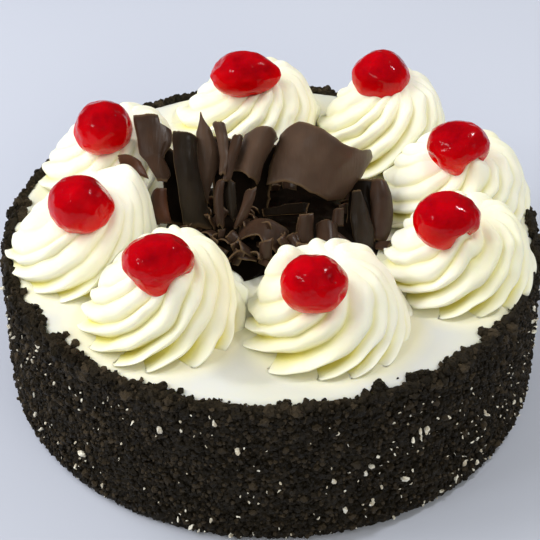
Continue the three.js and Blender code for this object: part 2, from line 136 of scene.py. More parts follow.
camera_data = bpy.data.cameras.new("camera")
camera_data.sensor_width = 36
camera_data.lens = 127.07
camera_data.shift_x = -0.0126
camera_data.clip_start = 0.01
camera = add_object("camera", camera_data)
camera.location = AIM + DISTANCE * Vector((0, -math.cos(ELEVATION), math.sin(ELEVATION)))
camera.rotation_euler = (math.pi / 2 - ELEVATION, 0, 0)
bpy.context.scene.camera = camera
bpy.context.scene.view_settings.view_transform = "Standard"
print("camera at", tuple(round(v, 3) for v in camera.location))

# %% [markdown]
# Materials, the sky and the crumbs are all built from nodes. One function adds a node of any
# kind. A small class wraps a socket, so that adding and multiplying reads like arithmetic while
# a Math node does it.

# %% Nodes and sockets


class Amount:
    def __init__(self, tree, socket):
        self.tree = tree
        self.socket = socket

    def combine(self, operation, other):
        made = add_node(self.tree, "ShaderNodeMath", dict(operation=operation), {0: self, 1: other})
        return Amount(self.tree, made.outputs[0])

    def __add__(self, other):
        return self.combine("ADD", other)

    def __mul__(self, other):
        return self.combine("MULTIPLY", other)


def plug(tree, socket, value):
    """Give a socket a link or a value; a colour of three numbers becomes opaque."""
    if isinstance(value, Amount):
        value = value.socket
    if isinstance(value, bpy.types.NodeSocket):
        tree.links.new(value, socket)
    elif socket.type == "RGBA":
        socket.default_value = (*value, 1)
    else:
        socket.default_value = value


def add_node(tree, kind, settings=None, inputs=None):
    """Add a node; an input goes by its label or, where labels repeat, by its place."""
    made = tree.nodes.new(kind)
    for key, value in (settings or {}).items():
        setattr(made, key, value)
    for key, value in (inputs or {}).items():
        if isinstance(key, str):
            key = next(i for i, s in enumerate(made.inputs) if s.enabled and s.name == key)
        plug(tree, made.inputs[key], value)
    return made


def usable(made):
    """The output that a node's settings leave in use."""
    return next(s for s in made.outputs if s.enabled)


print("node helpers ready")

# %% [markdown]
# A large soft light from the left makes the cream glow and leaves the right side of each swirl
# in gentle shade. The big lamps stay out of reflections, so that the wet cherries mirror only a
# small pane at the left and a sharp glint at the right. The sky fills the shadows, and it is dimmer
# where something mirrors it, which keeps the chocolate and the cherries deep in colour.

# %% Lights and sky


def soft_light(name, place, target, size, watts, colour=(1, 1, 1)):
    """A rectangular lamp that faces a height on the cake's axis."""
    data = bpy.data.lights.new(name, "AREA")
    data.shape = "RECTANGLE"
    data.size, data.size_y = size
    data.energy = watts
    data.color = colour
    lamp = add_object(name, data)
    lamp.location = place
    aim = Vector((0, 0, target)) - Vector(place)
    lamp.rotation_euler = aim.to_track_quat("-Z", "Y").to_euler()
    return lamp


window = soft_light("window", (-0.95, 0.2, 0.85), 0.05, (1.0, 0.9), 17.5, (1.0, 0.99, 0.97))
front = soft_light("front fill", (0.35, -0.9, 0.75), 0.03, (0.9, 0.5), 3.6, (1.0, 0.96, 0.84))
window.visible_glossy = front.visible_glossy = False
soft_light("pane", (-0.42, -0.3, 0.5), 0.07, (0.13, 0.10), 0.6)
soft_light("glint", (0.40, 0.12, 0.62), 0.07, (0.05, 0.07), 1.55)

SKY = 0.45
MIRRORED_SKY = 0.05
world = bpy.data.worlds.new("studio")
world.use_nodes = True
sky = world.node_tree.nodes["Background"]
plug(world.node_tree, sky.inputs["Color"], (1.0, 0.98, 0.88))
mirrored = add_node(world.node_tree, "ShaderNodeLightPath").outputs["Is Glossy Ray"]
strength = Amount(world.node_tree, mirrored) * (MIRRORED_SKY - SKY) + SKY
plug(world.node_tree, sky.inputs["Strength"], strength)
bpy.context.scene.world = world

# %% A finish and its nodes


class Finish:
    INPUTS = dict(
        colour="Base Color",
        roughness="Roughness",
        normal="Normal",
        glow="Subsurface Weight",
        glow_reach="Subsurface Radius",
        glow_scale="Subsurface Scale",
        gloss="Specular IOR Level",
    )

    def __init__(self, name):
        self.material = bpy.data.materials.new(name)
        self.material.use_nodes = True
        self.tree = self.material.node_tree
        self.shader = self.tree.nodes["Principled BSDF"]

    def node(self, kind, settings=None, inputs=None):
        return add_node(self.tree, kind, settings, inputs)

    def place(self):
        return self.node("ShaderNodeTexCoord").outputs["Object"]

    def attribute(self, name):
        made = self.node("ShaderNodeAttribute", dict(attribute_name=name))
        return Amount(self.tree, made.outputs["Fac"])

    def noise(self, scale, detail=3.0, roughness=0.55, place=None):
        inputs = {"Vector": place or self.place(), "Scale": scale, "Detail": detail}
        inputs["Roughness"] = roughness
        return Amount(self.tree, self.node("ShaderNodeTexNoise", {}, inputs).outputs["Fac"])

    def cells(self, scale):
        made = self.node("ShaderNodeTexVoronoi", {}, {"Vector": self.place(), "Scale": scale})
        return Amount(self.tree, made.outputs["Distance"])

    def between(self, value, low, high, start=0.0, end=1.0):
        inputs = {"Value": value, "From Min": low, "From Max": high, "To Min": start, "To Max": end}
        return Amount(self.tree, self.node("ShaderNodeMapRange", {}, inputs).outputs["Result"])

    def tint(self, factor, first, second):
        inputs = {"Factor": factor, "A": first, "B": second}
        return usable(self.node("ShaderNodeMix", dict(data_type="RGBA"), inputs))

    def bump(self, height, depth, strength=1.0):
        inputs = {"Height": height, "Distance": depth, "Strength": strength}
        return self.node("ShaderNodeBump", {}, inputs).outputs["Normal"]

    def set(self, **values):
        for key, value in values.items():
            plug(self.tree, self.shader.inputs[self.INPUTS[key]], value)
        return self.material


print("a finish sets:", list(Finish.INPUTS))

# %% [markdown]
# Whipped cream is matt to satin and lets light in, so that its thin edges glow. It is nearly
# white where light falls on it. Deep between the ridges and by the feet, a buttery yellow-green
# shade is painted into its colour. The pieces carry an attribute for that painted shade, because
# it follows their form.

# %% Whipped cream


def cream_finish(name, pale, buttery, painted_shade_name, deep):
    cream = Finish(name)
    drift = cream.noise(26, 2)
    colour = cream.tint(cream.between(drift, 0.35, 0.7), pale, buttery)
    # painted shade: this attribute mixes in the colour deep. In the rosettes that is a yellow-green
    # shade in the hollows; on the top it is a lighter warm yellow, painted bounce light by the
    # feet.
    painted_shade = cream.attribute(painted_shade_name)
    colour = cream.tint(cream.between(painted_shade, 0.12, 0.75), colour, deep)
    grain = cream.noise(900, 2) * 0.3 + cream.noise(150, 3)
    roughness = cream.between(cream.noise(300, 2), 0.3, 0.7, 0.42, 0.56)
    return cream.set(
        colour=colour,
        roughness=roughness,
        normal=cream.bump(grain, 0.00022, strength=0.6),
        glow=0.2,
        glow_reach=(1.0, 0.8, 0.35),
        glow_scale=0.003,
        gloss=0.3,
    )


CREAM = cream_finish(
    "whipped cream", (0.865, 0.865, 0.755), (0.855, 0.845, 0.635), "painted_shade", (0.74, 0.68, 0.19)
)
# painted shade: the top is the same cream as the rosettes, painted darker and greyer for the dimmer
# light that falls on it
SHADED_CREAM_TOP = cream_finish(
    "shaded smoothed cream", (0.60, 0.618, 0.62), (0.59, 0.602, 0.51), "near", (0.76, 0.745, 0.58)
)
print("cream finishes:", CREAM.name, SHADED_CREAM_TOP.name)

# %% [markdown]
# The crumbs are dark, nearly black sponge and chocolate: matt, with a few browner and greyer
# ones among them. Each crumb carries its own tone.

# %% Chocolate crumbs


def crumb_finish(name, tone_name=None):
    crumb = Finish(name)
    fine = crumb.noise(1400, 3, 0.7)
    light = crumb.between(fine, 0.3, 0.75)
    colour = crumb.tint(light, (0.007, 0.0052, 0.0028), (0.034, 0.0255, 0.014))
    if tone_name:
        tone = crumb.between(crumb.attribute(tone_name), 0.45, 1.0)
        brown = crumb.tint(tone, (0.009, 0.007, 0.004), (0.068, 0.050, 0.030))
        colour = crumb.tint(0.62, colour, brown)
    return crumb.set(
        colour=colour,
        roughness=crumb.between(fine, 0.3, 0.7, 0.5, 0.8),
        normal=crumb.bump(fine + crumb.cells(900) * 0.6, 0.00035, strength=0.9),
        gloss=0.22,
    )


CRUMB = crumb_finish("chocolate crumb", "tone")
CRUMB_GROUND = crumb_finish("pressed crumb")

speck = Finish("pale speck")
sugar = speck.between(speck.noise(700, 2), 0.4, 0.6)
SPECK = speck.set(
    colour=speck.tint(sugar, (0.92, 0.90, 0.80), (0.55, 0.49, 0.38)),
    roughness=speck.between(speck.noise(500, 2), 0.3, 0.7, 0.5, 0.7),
    normal=speck.bump(speck.noise(1200, 3), 0.0003),
)
print("crumb finishes:", CRUMB.name, CRUMB_GROUND.name, SPECK.name)

# %% [markdown]
# A glacé cherry is soaked in syrup: saturated translucent flesh under a wet, slightly wrinkled
# skin. Light from the cream comes through it from below; that light is painted into its colour,
# as a brighter red on its lower side. Each cherry carries an attribute for how low a point lies
# on it, which places that painted light.

# %% Glacé cherry
cherry = Finish("glacé cherry")
streaks = cherry.noise(130, 3, 0.6)
folds = cherry.noise(120, 2, 0.5) + cherry.noise(380, 2, 0.5) * 0.3
# painted light: the lower side gets a brighter red for light from the cream coming through it
painted_glow_below = cherry.between(cherry.attribute("low"), 0.2, 0.7)
top_red = cherry.tint(cherry.between(streaks, 0.3, 0.72), (0.25, 0.0, 0.003), (0.46, 0.0, 0.004))
CHERRY = cherry.set(
    colour=cherry.tint(painted_glow_below, top_red, (0.66, 0.0, 0.0)),
    roughness=cherry.between(cherry.noise(90, 2), 0.35, 0.7, 0.07, 0.17),
    normal=cherry.bump(folds, 0.002, strength=0.5),
    glow=0.2,
    glow_reach=(1.0, 0.02, 0.01),
    glow_scale=0.004,
    gloss=0.22,
)
print("cherry finish:", CHERRY.name)

# %% [markdown]
# The shards were planed off a block of dark chocolate. Their faces are satin with faint lines
# along the cut and mottled a little lighter and darker, and their thin edges let a warm light
# through, which is painted on as a paler colour at the edges.

# %% Planed chocolate


def chocolate_finish(name, light, dark, gloss=0.35):
    chocolate = Finish(name)
    cloud = chocolate.noise(70, 3)
    # painted light: a paler colour at the thin edges stands in for warm light coming through them
    painted_edge_glow = chocolate.between(chocolate.attribute("painted_edge_glow"), 0.4, 1.0, 0.0, 0.75)
    colour = chocolate.tint(chocolate.between(cloud, 0.35, 0.7), dark, light)
    colour = chocolate.tint(painted_edge_glow, colour, (0.13, 0.082, 0.042))
    drawn_out = {"Vector": chocolate.place(), "Scale": (1, 0.12, 0.12)}
    along = chocolate.node("ShaderNodeMapping", {}, drawn_out)
    lines = chocolate.noise(1500, 2, 0.5, along.outputs[0])
    return chocolate.set(
        colour=colour,
        roughness=chocolate.between(chocolate.noise(160, 3), 0.3, 0.7, 0.36, 0.55),
        normal=chocolate.bump(lines + chocolate.noise(420, 3) * 0.8, 0.00018, strength=0.7),
        glow=0.05,
        glow_reach=(1.0, 0.45, 0.2),
        glow_scale=0.002,
        gloss=gloss,
    )


CHOCOLATE = chocolate_finish("planed chocolate", (0.080, 0.047, 0.031), (0.053, 0.031, 0.020))
# painted shade: these three are darker copies of the same chocolate, for shards and flakes that lie
# in shade, down to near black in the heap's gaps and core
PART_SHADED = chocolate_finish("part-shaded chocolate", (0.052, 0.027, 0.016), (0.029, 0.015, 0.009))
MOSTLY_SHADED = chocolate_finish("mostly shaded chocolate", (0.024, 0.017, 0.011), (0.012, 0.008, 0.005), 0.2)
SHADED = chocolate_finish("shaded chocolate", (0.008, 0.005, 0.003), (0.004, 0.0025, 0.0015), 0.05)
# painted light: a warmer, redder copy of the chocolate, for thin shards that light comes through
PAINTED_GLOW = chocolate_finish("thin chocolate with painted glow", (0.105, 0.034, 0.012), (0.030, 0.011, 0.005))
print("chocolate finishes:", [made.name for made in (CHOCOLATE, PART_SHADED, MOSTLY_SHADED, SHADED, PAINTED_GLOW)])

# %% [markdown]
# Every piece is a plain mesh in metres with its place in its points. One helper makes the
# object, turns millimetres to metres, and gives it its finish and its smooth shading.

# %% Making a piece


def make_piece(name, points, faces, finish, attributes=None):
    mesh = bpy.data.meshes.new(name)
    mesh.from_pydata((np.asarray(points, float) * MM).tolist(), [], faces)
    mesh.update()
    mesh.shade_smooth()
    mesh.materials.append(finish)
    for key, values in (attributes or {}).items():
        layer = mesh.attributes.new(key, "FLOAT", "POINT")
        layer.data.foreach_set("value", np.asarray(values, np.float32))
    return add_object(name, mesh)


def settle(piece, slot, *nodes):
    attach(piece, "root")
    for node in nodes:
        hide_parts(node)
    return piece


def grid_faces(rows, columns, offset=0):
    faces = []
    for r in range(rows - 1):
        for c in range(columns):
            n = (c + 1) % columns
            low, high = offset + r * columns, offset + (r + 1) * columns
            faces.append((low + c, low + n, high + n, high + c))
    return faces


def turned(profile, columns):
    """Rings of a turned form, one for each radius and height in its profile."""
    turn = np.linspace(0, 2 * math.pi, columns, endpoint=False)
    return np.array([[(r * math.cos(t), r * math.sin(t), z) for t in turn] for r, z in profile])


def rounded_rim(radius, top, bend, steps):
    """The part of a profile that bends from a wall over to a top."""
    turns = [step * math.pi / 2 for step in steps]
    return [(radius - bend * (1 - math.cos(t)), top - bend + bend * math.sin(t)) for t in turns]


def closed_skin(rings, bottom, top):
    """Points and faces of a closed skin through stacked rings, with a pole at each end."""
    rows, columns = rings.shape[:2]
    points = np.concatenate([[bottom], rings.reshape(-1, 3), [top]])
    faces = grid_faces(rows, columns, 1)
    last = 1 + rows * columns
    for c in range(columns):
        n = (c + 1) % columns
        faces.append((0, 1 + n, 1 + c))
        faces.append((last, last - columns + c, last - columns + n))
    return points, faces


def skin_normals(grid, across):
    """Unit normals of a grid of points whose steps across it are given."""
    normal = np.cross(across, np.gradient(grid, axis=0))
    return normal / np.maximum(np.linalg.norm(normal, axis=-1), 1e-9)[..., None]


def bell(value, width, power=2):
    """1 where a value is 0, falling off softly on both sides within a width."""
    return np.exp(-((value / width) ** power))


def rough(points, scale, seed=0.0):
    """Smooth random values from -1 to 1 at points in millimetres."""
    shift = Vector((seed, -seed, 0.37 * seed))
    return np.array([noise.noise(Vector(p) * scale + shift) for p in points])


print("piece helpers ready")

# %% [markdown]
# Under everything lies the cream coat: a drum with a softly rounded rim, smoothed by a palette
# knife, so that its top is nearly but not quite flat.

# %% Cream coat
PAINTED_BOUNCE_REACH = 6.5


def cream_coat():
    wall = [(CREAM_RADIUS - 0.6, 0), (CREAM_RADIUS, 1), (CREAM_RADIUS, 20)]
    wall.append((CREAM_RADIUS, CAKE_HEIGHT - 5))
    rim = rounded_rim(CREAM_RADIUS, CAKE_HEIGHT, RIM_BEND, np.linspace(0.1, 1, 8))
    top = [(radius, CAKE_HEIGHT) for radius in np.linspace(80.5, 4, 34)]
    rings = turned(wall + rim + top, 240)
    flat = rings.reshape(-1, 3)
    raised = np.clip((flat[:, 2] - CAKE_HEIGHT + 3) / 3, 0, 1)
    level = flat * [1, 1, 0]
    sweep = rough(level, 0.03, 4) * 0.35 + rough(level, 0.11, 9) * 0.12
    flat[:, 2] += raised * (sweep * 0.6 - 0.12)
    return closed_skin(rings, (0, 0, 0), (0, 0, CAKE_HEIGHT - 0.3))


def painted_bounce_by_feet(points):
    """How near the foot of a rosette each point lies, where bounce light is painted into shade."""
    away = [np.linalg.norm(points[:, :2] - r["at"], axis=1) - r["foot"] for r in ROSETTES]
    return bell(np.maximum(0, np.min(away, axis=0)), PAINTED_BOUNCE_REACH)


coat_points, coat_faces = cream_coat()
# painted light: near marks where a warm bounce light is painted into the top's shade by the feet
near = dict(near=painted_bounce_by_feet(coat_points))
coat = make_piece("cream_coat", coat_points, coat_faces, SHADED_CREAM_TOP, near)
settle(coat, "cream", "iced_cake")
print("cream coat:", len(coat.data.polygons), "faces")

# %% [markdown]
# The crumbs are pressed into the side so tightly that they make a dark, pitted ground. This is
# one closed band whose relief is thousands of half-sunk grains: each point of the band rises
# like a ball over the nearest grain's centre. The loose crumbs sit on it.

# %% Pressed crumbs
GRAIN_GAP = 1.35
BAND_INSET = 2.3
BAND_TOP = CAKE_HEIGHT - 2.9
BAND_BEND = 2.8


def edge_of_crumbs(x, y):
    """How far out the crumbs begin on the top, which wanders round the cake."""
    turn = math.atan2(y, x)
    round_trip = Vector((3 * math.cos(turn), 3 * math.sin(turn), 0))
    return 84.9 + 1.5 * noise.noise(round_trip * 1.3) + 2.4 * noise.noise(round_trip * 6.0)


def grain_centres(rng, height):
    across, up = int(2 * math.pi * CAKE_RADIUS / GRAIN_GAP), int(height / GRAIN_GAP) + 1
    tree = KDTree(across * up)
    for i in range(across * up):
        turn = (i % across + rng.uniform(-0.45, 0.45)) / across * 2 * math.pi
        z = (i // across + rng.uniform(-0.45, 0.45)) * GRAIN_GAP
        tree.insert((CAKE_RADIUS * math.cos(turn), CAKE_RADIUS * math.sin(turn), z), i)
    tree.balance()
    return tree, rng.uniform(0.55, 1.15, across * up)


def grain_relief(spread, rng, height):
    """How far each point of the unrolled band stands out, as a ball over its nearest grain."""
    tree, sizes = grain_centres(rng, height)
    rise = np.zeros(len(spread))
    for i, point in enumerate(spread):
        _, nearest, distance = tree.find(point)
        size = sizes[nearest]
        rise[i] = math.sqrt(max(0.0, size**2 - distance**2)) * (0.75 + 0.5 * size)
    return rise + rough(spread, 0.07, 8) * 0.5 + rough(spread, 0.8, 3) * 0.25


def crumb_ground():
    """The band goes up the side and bends in over the rim, as far as the crumbs reach."""
    columns, rows, bend_rows = 900, 76, 9
    turn = np.linspace(0, 2 * math.pi, columns, endpoint=False)
    reach = np.array([edge_of_crumbs(math.cos(t), math.sin(t)) for t in turn]) + 0.5
    up, flat = np.linspace(0, BAND_TOP, rows), np.zeros(rows)
    bend = np.linspace(0, math.pi / 2, bend_rows + 1)[1:]
    z = np.r_[up, BAND_TOP + BAND_BEND * np.sin(bend)][:, None]
    lean = np.r_[flat, bend][:, None]
    length = np.r_[up, BAND_TOP + 3.2 * bend][:, None]
    wall = CAKE_RADIUS - BAND_INSET
    radius = wall - np.r_[flat, 1 - np.cos(bend)][:, None] * (wall - reach)
    round_x, round_y = CAKE_RADIUS * np.cos(turn), CAKE_RADIUS * np.sin(turn)
    spread = np.stack(np.broadcast_arrays(round_x, round_y, length), axis=-1).reshape(-1, 3)
    rise = grain_relief(spread, np.random.default_rng(6), length[-1, 0]).reshape(radius.shape)
    rise = rise - 1.2 * np.clip(1 - z / 3, 0, 1) ** 2
    radius = radius + rise * np.cos(lean)
    lift = z + rise * np.sin(lean)
    outer = np.stack([radius * np.cos(turn), radius * np.sin(turn), lift], axis=-1)
    inner = [outer[-1] * [0.99, 0.99, 0] + [0, 0, CAKE_HEIGHT - 2.5], outer[0] * [0.94, 0.94, 0]]
    rings = np.concatenate([outer, inner])
    faces = grid_faces(len(rings), columns)
    last = (len(rings) - 1) * columns
    faces += [(last + c, last + (c + 1) % columns, (c + 1) % columns, c) for c in range(columns)]
    return rings.reshape(-1, 3), faces


ground = make_piece("crumb_ground", *crumb_ground(), CRUMB_GROUND)
settle(ground, "crumb", "iced_cake")
print("crumb ground:", len(ground.data.polygons), "faces")

# %% [markdown]
# Thousands of crumbs are too many to place by hand, so Geometry Nodes scatter them over a
# helper surface: the side, the rim and an uneven band of the top. Each crumb is a small ball
# that is turned, stretched and then roughened by noise at its own place, so that no two match.

# %% Scatter tree for crumbs
SCATTER_INPUTS = dict(
    Surface="Geometry", Spacing="Float", Smallest="Float", Largest="Float", Skew="Float",
    Roughen="Float", Grain="Float", Stretch="Float", Detail="Int", Seed="Int", Finish="Material",
)


def scatter_tree():
    tree = bpy.data.node_groups.new("scatter crumbs", "GeometryNodeTree")
    tree.is_modifier = True
    for label, kind in SCATTER_INPUTS.items():
        tree.interface.new_socket(label, in_out="INPUT", socket_type="NodeSocket" + kind)
    tree.interface.new_socket("Crumbs", in_out="OUTPUT", socket_type="NodeSocketGeometry")
    given = tree.nodes.new("NodeGroupInput").outputs

    def add(kind, inputs=None, **settings):
        return usable(add_node(tree, kind, settings, inputs))

    def draw(low, high, seed, kind="FLOAT"):
        inputs = {"Min": low, "Max": high, "Seed": seed}
        return add("FunctionNodeRandomValue", inputs, data_type=kind)

    def vector_maths(operation, first, second):
        place = "Scale" if operation == "SCALE" else 1
        return add("ShaderNodeVectorMath", {0: first, place: second}, operation=operation)

    cover = add("GeometryNodeInputNamedAttribute", {"Name": "cover"}, data_type="FLOAT")
    density = {"Density Max": 3.0e6, "Density Factor": cover, "Seed": given["Seed"]}
    points = add(
        "GeometryNodeDistributePointsOnFaces",
        {"Mesh": given["Surface"], "Distance Min": given["Spacing"], **density},
        distribute_method="POISSON",
    )
    chance = draw(0, 1, given["Seed"])
    skewed = add("ShaderNodeMath", {0: chance, 1: given["Skew"]}, operation="POWER")
    sizes = {"Value": skewed, "To Min": given["Smallest"], "To Max": given["Largest"]}
    size = add("ShaderNodeMapRange", sizes)
    shape = draw((0.75, 0.75, 0.75), (1.15, 1.15, 1.15), 3, "FLOAT_VECTOR")
    longer = add("ShaderNodeCombineXYZ", {"X": given["Stretch"], "Y": 1.0, "Z": 1.0})
    scale = vector_maths("SCALE", vector_maths("MULTIPLY", shape, longer), size)
    ball = add("GeometryNodeMeshIcoSphere", {"Radius": 1.0, "Subdivisions": given["Detail"]})
    placed = add(
        "GeometryNodeInstanceOnPoints", {"Points": points, "Instance": ball, "Scale": scale}
    )
    tumble = draw((0, 0, 0), (6.28, 6.28, 6.28), 5, "FLOAT_VECTOR")
    tumbled = add("GeometryNodeRotateInstances", {"Instances": placed, "Rotation": tumble})
    toned = add(
        "GeometryNodeStoreNamedAttribute",
        {"Geometry": tumbled, "Name": "tone", "Value": draw(0, 1, 9)},
        data_type="FLOAT",
        domain="INSTANCE",
    )
    real = add("GeometryNodeRealizeInstances", {"Geometry": toned})
    where = {"Vector": add("GeometryNodeInputPosition"), "Scale": given["Grain"], "Detail": 3.0}
    wobble = add_node(tree, "ShaderNodeTexNoise", {}, where).outputs["Color"]
    centred = vector_maths("SUBTRACT", wobble, (0.5, 0.5, 0.5))
    push = vector_maths("SCALE", centred, given["Roughen"])
    moved = add("GeometryNodeSetPosition", {"Geometry": real, "Offset": push})
    flat = add("GeometryNodeSetShadeSmooth", {"Geometry": moved, "Shade Smooth": False})
    done = add("GeometryNodeSetMaterial", {"Geometry": flat, "Material": given["Finish"]})
    tree.links.new(done, tree.nodes.new("NodeGroupOutput").inputs["Crumbs"])
    return tree


SCATTER = scatter_tree()
print("scatter inputs:", list(SCATTER_INPUTS))

# %% Scatter surface and its cover


def on_rosette(x, y, margin):
    return any(
        math.hypot(x - r["at"][0], y - r["at"][1]) < r["foot"] + margin for r in ROSETTES
    )


def scatter_surface(name, cover_of):
    wall = CAKE_RADIUS - 1.3
    profile = [(wall - 1.3, 1.2), (wall - 0.4, 2.4)]
    profile += [(wall, z) for z in np.linspace(3.5, CAKE_HEIGHT - 3.4, 30)]
    profile += rounded_rim(wall, CAKE_HEIGHT - 0.2, 3.2, np.linspace(0.15, 1, 6))
    profile += [(radius, CAKE_HEIGHT - 0.1) for radius in np.linspace(84.4, 74, 14)]
    rings = turned(profile, 720)
    points = rings.reshape(-1, 3)
    cover = [cover_of(*point) for point in points]
    return make_piece(name, points, grid_faces(*rings.shape[:2]), CRUMB, dict(cover=cover))


def crumb_cover(x, y, z):
    reach = math.hypot(x, y)
    if z > CAKE_HEIGHT - 1.5 and on_rosette(x, y, 1.5):
        return 0.0
    if z > CAKE_HEIGHT - 1.2:
        stray = 0.02 if x > 30 and y < 10 else 0.004
        return 1.0 if reach > edge_of_crumbs(x, y) else stray * (reach > 79)
    return 1.0


def clump_cover(x, y, z):
    """Clumps gather along the edge of the cream, in runs."""
    reach = math.hypot(x, y)
    if z < CAKE_HEIGHT - 4 or on_rosette(x, y, 2.5) or reach < edge_of_crumbs(x, y) - 1.0:
        return 0.0
    run = noise.noise(Vector((x, y, 0)) * 0.09 + Vector((4, 1, 7)))
    return max(0.0, min(1.0, 0.4 + 3.0 * run))


# %% Crumbs, large and small


def scatter(name, surface, finish, **sizes):
    modifier = surface.modifiers.new("scatter", "NODES")
    modifier.node_group = SCATTER
    values = dict(sizes, Finish=finish)
    for item in SCATTER.interface.items_tree:
        if item.in_out == "INPUT" and item.name in values:
            modifier[item.identifier] = values[item.name]
    graph = bpy.context.evaluated_depsgraph_get()
    mesh = bpy.data.meshes.new_from_object(surface.evaluated_get(graph))
    surface.modifiers.remove(modifier)
    mesh.name = name
    print(name, "triangles:", sum(len(face.vertices) - 2 for face in mesh.polygons))
    return add_object(name, mesh)


side = scatter_surface("scatter_side", crumb_cover)
rim = scatter_surface("scatter_rim", clump_cover)
crumbs = scatter(
    "crumbs", side, CRUMB, Spacing=3.24 * MM, Smallest=0.6 * MM, Largest=1.4 * MM, Skew=1.4,
    Roughen=2.8 * MM, Grain=700.0, Stretch=1.0, Detail=2, Seed=3,
)
small_crumbs = scatter(
    "small_crumbs", side, CRUMB, Spacing=1.45 * MM, Smallest=0.35 * MM, Largest=1.0 * MM, Skew=1.2,
    Roughen=1.6 * MM, Grain=1000.0, Stretch=1.0, Detail=1, Seed=8,
)
clumps = scatter(
    "crumb_clumps", rim, CRUMB, Spacing=2.3 * MM, Smallest=0.9 * MM, Largest=2.1 * MM, Skew=1.3,
    Roughen=3.4 * MM, Grain=620.0, Stretch=1.1, Detail=3, Seed=5,
)
for piece in (crumbs, small_crumbs, clumps):
    settle(piece, "crumb", "iced_cake")

# %% [markdown]
# The rosettes were piped with a star nozzle in one turning squeeze. The rule is a full dome
# whose peak leans off its centre, with rounded ridges that wind clockwise from the peak to the
# foot. The ridges are deep and sharp towards the front, softer where the cream has slumped, and
# run out in points where it first touched the cake. The foot stands a little in the coat.

# %% Rosette dome and ridges
WIND_EASE, WIND_POWER, WIND_WHOLE = 0.06, 0.75, 0.92
RIDGE_SHIFT = 0.22
CRISP_WIDTH = 72
BACK_CRISP, BACK_WIDTH = 0.65, 50
CALM_LEAST = 0.14  # what is left of a ridge on the slumped side
MID_RIDGE = 0.72
FOOT_BAND = 5.0  # height of the foot's deeper ridges
TIP_BAND, TIP_TRAIL = 4.2, 35  # how high the tips are, and how far they trail in degrees
TIP_ROUND, TIP_TUCK = 0.7, 0.16


def dome_share(spec, share, angle):
    """The dome's height at a share of its radius, fuller on the side that it leans to."""
    fullness = spec["full"] + 0.9 * np.cos(angle - math.radians(spec.get("lean", 35)))
    return np.maximum(0, 1 - share**fullness) ** 0.7


def even_shares(spec, rows):
    """Shares of the radius from foot to peak, spaced evenly along the dome's slope."""
    fine = np.linspace(1, 0, 1500)
    height = spec["height"] * dome_share(spec, fine, math.radians(MEAN_SIDE))
    steps = np.hypot(np.diff(height), np.diff(fine) * spec["foot"])
    slope = np.r_[0, np.cumsum(steps)]
    return np.interp(np.linspace(0, 0.985, rows) * slope[-1], slope, fine)


def ridge_layout(rng, columns, spec):
    """For each column: where it lies on its ridge, and how strong and how long that ridge is."""
    phase = np.linspace(0, 1, columns, endpoint=False)
    ridge = (phase * RIDGES).astype(int)
    along = phase * RIDGES - ridge
    shift = rng.uniform(-RIDGE_SHIFT, RIDGE_SHIFT, RIDGES)
    nudge = shift[ridge] * (1 - along) + shift[(ridge + 1) % RIDGES] * along
    angle = 2 * math.pi * (phase + nudge / RIDGES)
    tips = rng.uniform(0.5, 1.5, RIDGES) * TIP_REACH
    for side, reach in spec["flares"]:
        away = np.cos(2 * math.pi * (np.arange(RIDGES) + 0.5) / RIDGES - math.radians(side))
        tips += reach * np.clip(away, 0, 1) ** 2
    return angle, along, rng.uniform(0.6, 1.2, RIDGES)[ridge], tips[ridge]


def near_side(angle, side, width):
    """1 on one side of a rosette, falling to 0 away from it; angles in degrees but the first."""
    off = (np.degrees(angle) - side + 180) % 360 - 180
    return bell(off, width)


def wound(spec, share):
    """How far a ridge has wound at a share of the radius, in degrees: fastest at the foot."""
    climb = dome_share(spec, share, math.radians(MEAN_SIDE))
    return RIDGE_TWIST * ((climb + WIND_EASE) ** WIND_POWER - WIND_EASE**WIND_POWER) / WIND_WHOLE


def ridge_relief(spec, share, angle, along, power, low):
    """A ridge's crest, the depth beside it, and the painted shade of its hollows and foot."""
    crest = 1 - np.abs(2 * along[None, :] ** 1.2 - 1) ** (2.2 - 0.9 * low)
    fade = np.clip((share - 0.15) / 0.6, 0, 1) ** 1.3
    crisp = near_side(angle, CRISP_SIDE, CRISP_WIDTH)
    crisp += BACK_CRISP * near_side(angle, CRISP_SIDE - 180, BACK_WIDTH)
    calm = (CALM_LEAST + (1 - CALM_LEAST) * crisp) * spec.get("soft", 1)
    depth = RIDGE_DEPTH * (1 + 0.7 * low * crisp) * fade * calm * power
    # painted shade: yellow-green in the valleys, and more of it near the foot
    painted_shade = (1 - crest) ** 1.3 * fade * (0.55 + 0.6 * low) * (0.25 + 0.75 * calm)
    painted_shade += 0.4 * low * calm * (1 - 0.8 * crest)
    return crest, depth, painted_shade


